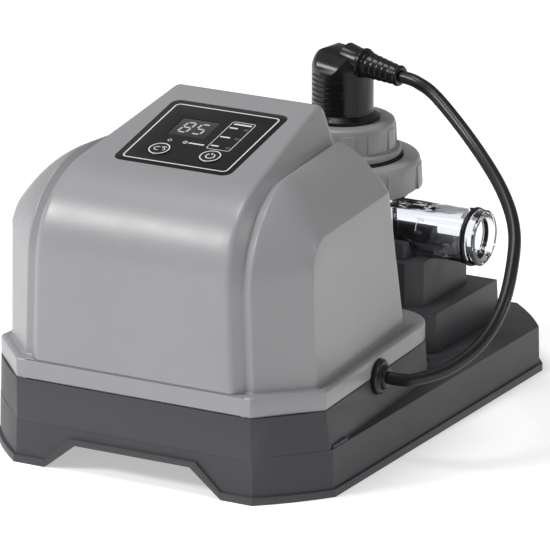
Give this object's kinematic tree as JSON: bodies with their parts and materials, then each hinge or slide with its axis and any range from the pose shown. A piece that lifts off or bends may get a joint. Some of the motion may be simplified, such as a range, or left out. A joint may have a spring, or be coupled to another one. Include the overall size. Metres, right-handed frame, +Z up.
{
  "type": "salt chlorine generator",
  "caption": "Floor-standing salt chlorine generator: sloped control housing on a tray with an electrolytic cell, water tube and corded plug behind it.",
  "frame": {"origin": "middle of the footprint on the floor, without the cable", "axes": "+X to the right seen from the front, +Y from the front towards the cell, +Z up; the control housing faces -Y"},
  "size_m": [0.297, 0.356, 0.2144],
  "materials": {
    "cover_grey_plastic": "fine satin moulding, mid grey",
    "base_grey_plastic": "fine satin moulding, dark grey",
    "nut_grey_plastic": "satin moulding, grey",
    "panel_film": "printed film with a pale border line",
    "button_film": "satin, printed ring",
    "window_tint": "dark tinted clear plastic",
    "display_black": "black moulding",
    "light_white": "natural white slippery plastic",
    "board_green": "solder mask over glass-fibre board",
    "core_steel": "stacked laminations, varnished",
    "coil_tape": "yellow insulating tape over the winding",
    "terminal_green": "green moulding",
    "plug_black": "black moulding, slightly glossy",
    "cable_black": "smooth black cable jacket",
    "seal_rubber": "black sealing rubber",
    "head_black": "black moulding",
    "titanium": "coated titanium plate, dull grey",
    "pin_brass": "turned brass",
    "clear_plastic": "clear moulded plastic",
    "screw_steel": "bright stainless steel",
    "foot_rubber": "matt black rubber"
  },
  "bodies": {
    "unit": {"base_shell": "base_grey_plastic", "bottom_plate": "base_grey_plastic", "cable_gland": "plug_black", "cell_cable": "cable_black", "cell_cradle": "base_grey_plastic", "cell_housing": "clear_plastic", "contact_pin_1": "pin_brass", "contact_pin_2": "pin_brass", "contact_pin_3": "pin_brass", "control_board": "board_green", "control_panel": "panel_film", "cover": "cover_grey_plastic", "cover_screw_front_left": "screw_steel", "cover_screw_front_right": "screw_steel", "cover_screw_rear_left": "screw_steel", "cover_screw_rear_right": "screw_steel", "cradle_screw_front_left": "screw_steel", "cradle_screw_front_right": "screw_steel", "cradle_screw_rear_left": "screw_steel", "cradle_screw_rear_right": "screw_steel", "display_module": "display_black", "display_window": "window_tint", "electrode_head": "head_black", "electrode_plate_1": "titanium", "electrode_plate_2": "titanium", "electrode_plate_3": "titanium", "electrode_plate_4": "titanium", "electrode_plate_5": "titanium", "floor_screw_front_left": "screw_steel", "floor_screw_front_right": "screw_steel", "floor_screw_rear_left": "screw_steel", "floor_screw_rear_right": "screw_steel", "foot_front_left": "foot_rubber", "foot_front_right": "foot_rubber", "foot_rear_left": "foot_rubber", "foot_rear_right": "foot_rubber", "head_oring": "seal_rubber", "level_light_good": "light_white", "level_light_high": "light_white", "level_light_low": "light_white", "mains_gland": "plug_black", "plate_spacer": "head_black", "plug_body": "plug_black", "plug_seal": "seal_rubber", "plug_socket": "head_black", "plug_strain_relief": "plug_black", "power_board": "board_green", "power_switch": "display_black", "terminal_block": "terminal_green", "timer_switch": "display_black", "transformer_coil": "coil_tape", "transformer_core": "core_steel", "tube_oring_left": "seal_rubber", "tube_oring_right": "seal_rubber"},
    "timer_button": {"timer_button": "button_film"},
    "power_button": {"power_button": "button_film"},
    "plug_nut": {"plug_nut": "nut_grey_plastic"},
    "electrode_nut": {"electrode_nut": "nut_grey_plastic"},
    "union_slip_ring": {"union_slip_ring": "light_white"}
  },
  "joints": [
    {"name": "timer_button_press", "type": "slide", "parent": "unit", "child": "timer_button", "axis": [0, 0.2284, -0.9736], "range_m": [0, 0.0006], "stiffness_N_per_m": 900, "springref_m": -0.0008},
    {"name": "power_button_press", "type": "slide", "parent": "unit", "child": "power_button", "axis": [0, 0.2284, -0.9736], "range_m": [0, 0.0006], "stiffness_N_per_m": 900, "springref_m": -0.0008},
    {"name": "plug_nut_turn", "type": "hinge", "parent": "unit", "child": "plug_nut", "pos_m": [0, 0.0897, 0.15], "axis": [0, 0, 1], "range_deg": [0, 540]},
    {"name": "electrode_nut_rise", "type": "slide", "parent": "unit", "child": "union_slip_ring", "axis": [0, 0, 1], "range_m": [0, 0.008]},
    {"name": "electrode_nut_turn", "type": "hinge", "parent": "union_slip_ring", "child": "electrode_nut", "pos_m": [0, 0.0897, 0.13], "axis": [0, 0, 1], "range_deg": [0, 720]}
  ],
  "couplings": [
    {"joint": "electrode_nut_rise", "follows": "electrode_nut_turn", "m_per_rad": 0.00063662}
  ]
}
